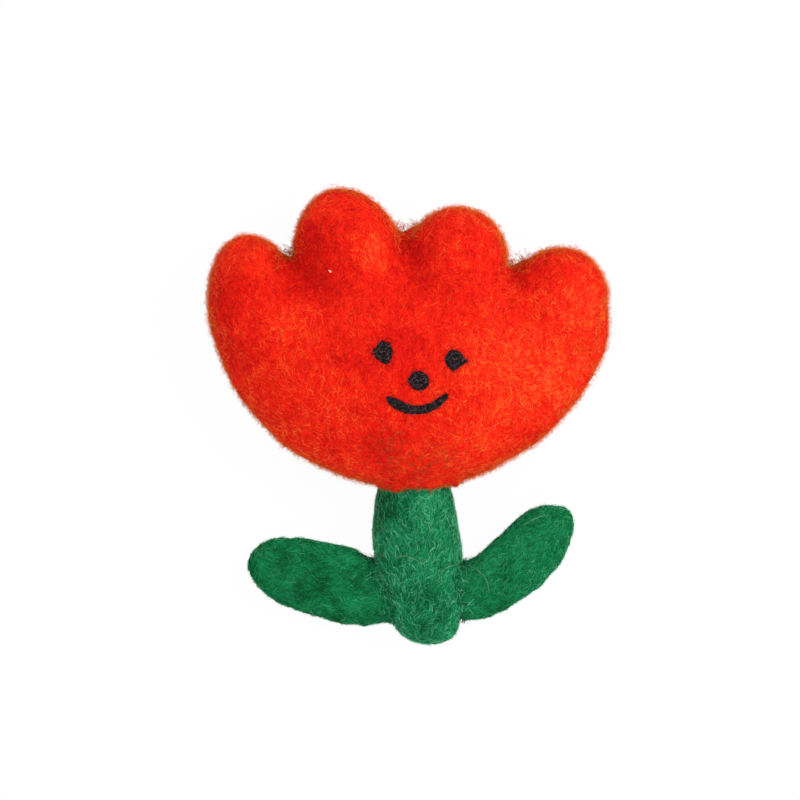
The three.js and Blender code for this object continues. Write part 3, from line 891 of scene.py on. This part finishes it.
edge = np.exp(-(slope / 0.38) ** 2) * (1 - 0.8 * valleys)
bloomFluff = {"perSquareMm": 6, "length": 1, "thickness": 0.042, "lift": 0.78, "curl": 0.4, "sink": 0.05,
              "lean": 0.4, "upward": 0.8}
for i in range(2):
    lay = {**bloomFluff, "seed": 31 + i}
    strew("red_wool", f"bloom_fluff_{i + 1}", bloom, rimWool, lay, bloomCover * edge)
bloomHalo = {"perSquareMm": 1, "length": 2, "thickness": 0.035, "lift": 1.1, "curl": 0.6, "sink": 0.05,
             "lean": 0.4, "upward": 0.8, "seed": 37}
strew("red_wool", "bloom_halo", bloom, rimWool, bloomHalo, bloomCover * edge)

# Longer hairs where two petals meet, a fringe that hangs over the top of the stem, and brown lint that low on
# the bloom also paints shade

notchHairs = {"perSquareMm": 6, "length": 1, "thickness": 0.065, "lift": 1.8, "curl": 0.4, "sink": 0.1,
              "segments": 4, "upward": 0.6, "seed": 41}
notchWeight = bloomCover * nearSpots(bloom, notches, 1.5 * mm) * np.exp(-((slope - 0.1) / 0.45) ** 2)
strew("red_wool", "notch_hairs", bloom, notchWool, notchHairs, notchWeight)
brow = [(x, -13.4 + 0.02 * (x - 2) ** 2) for x in range(-6, 11)]
fringe = {"perSquareMm": 7, "length": 1.5, "thickness": 0.055, "lift": 0.5, "curl": 0.4, "sink": 0.03,
          "scatter": 1.2, "spread": 0.9, "seed": 43}
browWeight = nearSpots(bloom, brow, 1 * mm) * (slope > -0.6)
strew("red_wool", "stem_fringe", bloom, redWool, fringe, browWeight)
brownFringe = {**fringe, "perSquareMm": 3, "seed": 44}
strew("red_wool", "stem_fringe_brown", bloom, oliveWool, brownFringe, browWeight)
smudgeAndShade = {"perSquareMm": 3.6, "length": 1.1, "thickness": 0.07, "lift": 0.2, "curl": 0.35, "sink": 0.02,
          "seed": 47}
front = slope > 0.3
# Olive fibres: a brown smudge by the mouth, and lower on the bloom also painted shade above the stem
chinLint = nearSpots(bloom, [(4.5, -6.8), (7, -6.4)], 2.2 * mm)
cheekLintAndShade = nearSpots(bloom, [(-4, -5), (-1.6, -8), (2, -9)], 3 * mm)
strew("red_wool", "olive_lint_and_shade", bloom, oliveWool, smudgeAndShade, front * (chinLint + cheekLintAndShade))

# Stem and leaves

greens = {
    "stem": {"skin": stem, "wool": stemWool, "strand": mintWool, "strands": 7.5},
    "leaf_left": {"skin": leafLeft, "wool": leafWool, "strand": leafStrand, "strands": 2.4},
    "leaf_right": {"skin": leafRight, "wool": leafWool, "strand": leafStrand, "strands": 4.6},
}
greenCoat = {"perSquareMm": 9, "length": 1.4, "thickness": 0.12, "lift": 0.12, "curl": 0.25, "sink": 0.03,
             "segments": 1, "scatter": 0.9, "seed": 51, "spread": 1.0, "cloud": 0.9, "lean": 0.4}
greenStrands = {"length": 1.4, "thickness": 0.052, "lift": 0.22, "curl": 0.6, "sink": 0.02, "scatter": 1,
                "seed": 53, "spread": 1.0, "cloud": 0.4, "lean": 0.35}
greenFluff = {"perSquareMm": 13, "length": 0.9, "thickness": 0.035, "lift": 0.42, "curl": 0.35,
              "sink": 0.04, "seed": 59, "lean": 0.4, "upward": 0.8}
for name, make in greens.items():
    skin = make["skin"]
    cover = stemCover if name == "stem" else None
    edgeCover = np.exp(-(readNormals(skin.data)[:, 2] / 0.35) ** 2) * (1 if cover is None else cover)
    strew("green_wool", name + "_coat", skin, make["wool"], greenCoat, cover)
    strandLay = {**greenStrands, "perSquareMm": make["strands"]}
    strew("green_wool", name + "_strands", skin, make["strand"], strandLay, cover)
    strew("green_wool", name + "_fluff", skin, greenRim, greenFluff, edgeCover)

# Dark fibres along the stem's upper left edge: dark lint, and painted shade on the side away from the lamp
edgeLintAndShade = {**smudgeAndShade, "perSquareMm": 8, "seed": 49}
edgeLintAndShadeWeight = stemCover * nearSpots(stem, [(-5.6, -14), (-6, -17), (-6.2, -20), (-6.4, -25)], 1.7 * mm)
strew("green_wool", "stem_lint_and_shade", stem, darkWool, edgeLintAndShade, edgeLintAndShadeWeight)

# Hairs needled across the creases where the leaves meet the stem

def nearPiece(skin, other, size):
    tree = treeOf(other)
    away = np.array([tree.find_nearest(Vector(p))[3] for p in readPoints(skin.data)])
    return np.exp(-(away / size) ** 2)


joins = {"perSquareMm": 9, "length": 2.2, "thickness": 0.09, "lift": 0.4, "curl": 0.5, "sink": 0.02,
         "seed": 61}
curls = {**joins, "length": 1.8, "thickness": 0.055, "lift": 0.6, "curl": 0.8, "seed": 63}
for name, leaf in (("leaf_left", leafLeft), ("leaf_right", leafRight)):
    strew("green_wool", name + "_join", leaf, leafWool, joins, nearPiece(leaf, stem, 1.1 * mm))
    strew("green_wool", name + "_curls", leaf, mintWool, curls, nearPiece(leaf, stem, 1.3 * mm))
    strew("green_wool", name + "_root", stem, stemWool, joins, stemCover * nearPiece(stem, leaf, 0.9 * mm))

# Long hairs that strayed over the stem, the leaves and the bloom, and a speck of undyed wool: paths in mm

def strayHairs(name, skins, material, look):
    fronts = [frontOf(skin) for skin in skins]
    verts, faces, places = [], [], []
    sides = look["sides"]
    for number, path in enumerate(look["paths"]):
        line = smoothed(evenLine(np.array(path, float) * mm, look["steps"]), 4)
        height = np.array([max(front(x, y, -1.0) for front in fronts) for x, y in line])
        found = np.flatnonzero(height > 0)
        height = np.interp(range(len(line)), found, height[found]) + look["lift"]
        for _ in range(3):
            height[1:-1] = np.maximum(height[1:-1], (height[:-2] + 2 * height[1:-1] + height[2:]) / 4)
        first = len(verts)
        for i, (x, y) in enumerate(line):
            across = acrossAt(line, i)
            share = i / (len(line) - 1)
            radius = look["radius"] * (0.35 + 1.3 * math.sin(math.pi * share) ** 0.5) / 1.65
            for k in range(sides):
                turn = 2 * math.pi * k / sides
                side = across * radius * math.cos(turn)
                verts.append((x + side[0], y + side[1], height[i] + radius * math.sin(turn)))
                places.append((0.6 + 0.05 * (number % 7) + 0.003 * k, 0.02 + 0.96 * share))
        for i in range(len(line) - 1):
            for k in range(sides):
                a, b = first + i * sides + k, first + i * sides + (k + 1) % sides
                faces.append((a, a + sides, b + sides, b))
        faces.append(tuple(first + k for k in range(sides)))
        faces.append(tuple(len(verts) - sides + k for k in range(sides))[::-1])
    thing = closedObject(name, verts, faces)
    layer = thing.data.uv_layers.new(name="OFBake")
    for loop in thing.data.loops:
        layer.data[loop.index].uv = places[loop.vertex_index]
    thing.data.materials.append(material)
    print("hairs", name, len(thing.data.polygons), "faces")
    return thing


greenHairs = {"sides": 4, "steps": 26, "radius": 0.022 * mm, "lift": 0.22 * mm, "paths": [
    [(5.41, -29.34), (5.59, -28.08), (6.31, -27.36), (7.75, -26.82), (9.19, -26.64)],
    [(9.01, -26.82), (10.63, -26.82), (12.07, -27.54), (13.33, -28.44), (14.23, -29.7), (14.59, -32.04)],
    [(-2.51, -25.74), (-1.79, -25.2), (-1.07, -24.84), (0.19, -25.2), (1.63, -25.74), (3.07, -26.82)],
    [(-6.11, -26.1), (-5.39, -27.54), (-4.49, -30.24), (-4.67, -31.5)],
    [(-4.49, -30.78), (-3.59, -32.4), (-2.51, -33.66), (-1.25, -34.56)],
    [(20.53, -19.8), (22.33, -18.72), (24.13, -18.0), (25.75, -18.0)],
    [(-5.21, -28.26), (-4.13, -29.88), (-3.41, -32.22), (-3.05, -35.1)],
    [(9.37, -28.98), (8.83, -30.78), (9.37, -32.94), (9.19, -35.1)],
]}
greenFelts = [stem, leafLeft, leafRight]
pieces["green_wool"].append(strayHairs("stray_green_hairs", greenFelts, paleWool, greenHairs))
redHairs = {"sides": 4, "steps": 20, "radius": 0.025 * mm, "lift": 0.2 * mm, "paths": [
    [(-3.19, -10.7), (-1.61, -12.11), (-0.2, -13.52)],
    [(1.92, -11.4), (3.68, -12.81), (4.04, -14.4)],
    [(5.45, -11.23), (6.5, -12.64), (8.09, -13.34)],
    [(-25.94, 25.98), (-26.65, 23.34), (-25.94, 20.69)],
    [(-10.42, 20.69), (-9.37, 17.52), (-10.07, 14.34)],
    [(16.03, 20.69), (18.14, 21.4), (19.91, 20.69)],
    [(-19.24, 3.06), (-17.12, 0.94), (-13.95, -0.12)],
    [(21.32, 3.06), (19.55, 0.59), (16.91, -0.47)],
    [(20.3, 26.9), (23.8, 27.9), (26.5, 29.3), (29.5, 29.9)],
    [(4.2, 33.6), (6.4, 36), (9.6, 37.3), (13, 36.6)],
    [(-4.6, 36.8), (-2.6, 34.2), (-1.9, 31.4)],
]}
pieces["red_wool"].append(strayHairs("stray_red_hairs", [bloom, stem], orangeWool, redHairs))
specks = {"sides": 6, "steps": 6, "radius": 0.17 * mm, "lift": 0.1 * mm,
          "paths": [[(-14.25, 26.1), (-13.75, 25.6)]]}
pieces["undyed_wool"].append(strayHairs("undyed_specks", [bloom], undyedWool, specks))

# Face

blackLay = {"perSquareMm": 24, "length": 1, "thickness": 0.055, "lift": 0.14, "curl": 0.25, "sink": 0.03,
            "seed": 71}
for name, tuft in tufts.items():
    upper = (readNormals(tuft.data)[:, 2] > 0.1).astype(float)
    strew("black_wool", name + "_fibres", tuft, blackWool, blackLay, upper)

# Around each black patch the red wool is darker: black strands that were caught by the needle, and painted
# shade around the patch

def rimSpots(node, look):
    centre = middleOf(node)[:2] / mm
    if "rim" in look:
        return [tuple(centre + 1.04 * point) for point in closedCurve(look["rim"], 24)]
    path = np.array(look["path"])
    across = np.gradient(path[:, :2], axis=0)[:, ::-1] * (-1, 1)
    across /= np.linalg.norm(across, axis=1)[:, None]
    sides = [(spot, way * (spot[2] + 0.1) * turn) for spot, turn in zip(path, across) for way in (1, -1)]
    return [tuple(centre + spot[:2] + step) for spot, step in sides]


strayBlackAndShadeSpots = [spot for node, look in faceLooks.items() for spot in rimSpots(node, look)]
strayBlackAndShadeWeight = nearSpots(bloom, strayBlackAndShadeSpots, 0.4 * mm) * front
strayBlackAndShade = {"perSquareMm": 16, "length": 0.9, "thickness": 0.06, "lift": 0.14, "curl": 0.25, "sink": 0.02,
        "seed": 73}
strew("black_wool", "face_stray_black_and_shade", bloom, strayBlackAndShadeWool, strayBlackAndShade, strayBlackAndShadeWeight)

for slot, members in pieces.items():
    for piece in members:
        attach(piece, "root")
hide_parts(*bloomNodes)
for piece, node in ((core, "bloom_core"), (stem, "stem"), (leafLeft, "leaf_left"), (leafRight, "leaf_right")):
    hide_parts(node)
for name, tuft in tufts.items():
    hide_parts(name)

# Table, light and camera

def addFloor():
    mesh = bpy.data.meshes.new("floor")
    reach = 3.0
    mesh.from_pydata([(-reach, -reach, 0), (reach, -reach, 0), (reach, reach, 0), (-reach, reach, 0)], [],
                     [(0, 1, 2, 3)])
    floor = addObject("floor", mesh)
    material = bpy.data.materials.new("whitePaper")
    material.use_nodes = True
    tree = material.node_tree
    tree.nodes.remove(tree.nodes["Principled BSDF"])
    paper = nodeOf(tree, "ShaderNodeBsdfDiffuse", {"Color": (0.9, 0.9, 0.9, 1)}).outputs[0]
    white = nodeOf(tree, "ShaderNodeEmission").outputs[0]
    seen = nodeOf(tree, "ShaderNodeLightPath").outputs["Is Camera Ray"]
    share = nodeOf(tree, "ShaderNodeMath", {0: seen, 1: 0.97}, operation="MULTIPLY").outputs[0]
    mixed = nodeOf(tree, "ShaderNodeMixShader", {0: share, 1: paper, 2: white})
    tree.links.new(mixed.outputs[0], tree.nodes["Material Output"].inputs["Surface"])
    mesh.materials.append(material)


def addLamp(name, place, aim, size, power):
    lamp = bpy.data.lights.new(name, "AREA")
    lamp.shape = "DISK"
    lamp.size = size
    lamp.energy = power
    thing = bpy.data.objects.new(name, lamp)
    bpy.context.scene.collection.objects.link(thing)
    thing.location = place
    thing.rotation_euler = (Vector(aim) - Vector(place)).to_track_quat("-Z", "Y").to_euler()


def addWorld(strength):
    world = bpy.data.worlds.new("studio")
    bpy.context.scene.world = world
    world.use_nodes = True
    tree = world.node_tree
    dim = tree.nodes["Background"]
    dim.inputs["Color"].default_value = (1, 1, 1, 1)
    dim.inputs["Strength"].default_value = strength
    white = nodeOf(tree, "ShaderNodeBackground", {"Color": (1, 1, 1, 1)}).outputs[0]
    seen = nodeOf(tree, "ShaderNodeLightPath").outputs["Is Camera Ray"]
    mixed = nodeOf(tree, "ShaderNodeMixShader", {0: seen, 1: dim.outputs[0], 2: white})
    tree.links.new(mixed.outputs[0], tree.nodes["World Output"].inputs["Surface"])


addFloor()
addWorld(1.0)
focusHeight = 12 * mm
addLamp("window", place=(0.4, 0.13, 0.51), aim=(0, 0, focusHeight), size=0.3, power=1.95)

photo = {"widthMm": 144.0, "lens": 135.0, "sensor": 36.0, "middleMm": (-1.607, 3.057)}
camera = bpy.data.cameras.new("camera")
camera.lens = photo["lens"]
camera.sensor_width = photo["sensor"]
camera.clip_start = 0.01
eye = bpy.data.objects.new("camera", camera)
bpy.context.scene.collection.objects.link(eye)
distance = photo["widthMm"] * mm * photo["lens"] / photo["sensor"]
eye.location = (photo["middleMm"][0] * mm, photo["middleMm"][1] * mm, distance + focusHeight)
bpy.context.scene.camera = eye
bpy.context.scene.view_settings.view_transform = "Standard"
